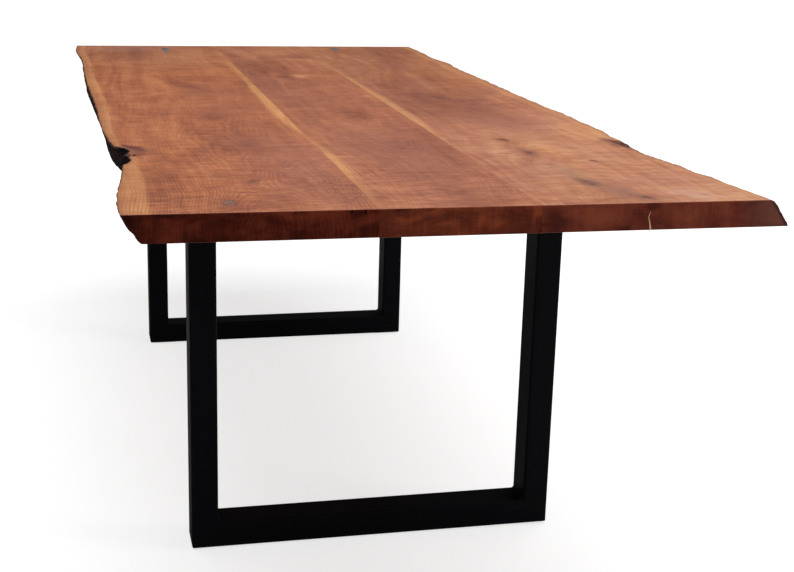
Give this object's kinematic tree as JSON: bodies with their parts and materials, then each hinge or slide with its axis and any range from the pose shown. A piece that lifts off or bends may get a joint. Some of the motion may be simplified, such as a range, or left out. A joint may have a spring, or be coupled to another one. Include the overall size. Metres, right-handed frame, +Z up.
{
  "type": "live edge dining table",
  "caption": "Dining table with a live edge slab top of edge-glued boards on black U-shaped frames of rectangular steel tube.",
  "frame": {"origin": "on the floor under the middle of the top's overall box", "axes": "+X across the table towards the edge whose live edge leans out, +Y along its length away from the end with the dark knots, +Z up"},
  "size_m": [1.0769, 2.3, 0.76],
  "materials": {
    "slab_wood": "oiled, satin",
    "tenon_wood": "raw beech",
    "knot_resin": "dark resin, polished with the top",
    "wood_filler": "pale filler, matt",
    "black_powder_coat": "satin black powder coat",
    "felt": "black felt",
    "zinc_steel": "bright zinc"
  },
  "bodies": {
    "root": {"left_board": "slab_wood", "centre_board": "slab_wood", "right_board": "slab_wood", "left_joint_tenons": "tenon_wood", "right_joint_tenons": "tenon_wood", "knot_fills": "knot_resin", "end_check_filler": "wood_filler", "near_leg_left_upright": "black_powder_coat", "near_leg_right_upright": "black_powder_coat", "near_leg_foot_rail": "black_powder_coat", "near_leg_top_plate": "black_powder_coat", "near_leg_weld_beads": "black_powder_coat", "near_leg_felt_pads": "felt", "near_leg_screws": "zinc_steel", "near_leg_washers": "zinc_steel", "far_leg_left_upright": "black_powder_coat", "far_leg_right_upright": "black_powder_coat", "far_leg_foot_rail": "black_powder_coat", "far_leg_top_plate": "black_powder_coat", "far_leg_weld_beads": "black_powder_coat", "far_leg_felt_pads": "felt", "far_leg_screws": "zinc_steel", "far_leg_washers": "zinc_steel"}
  },
  "joints": []
}
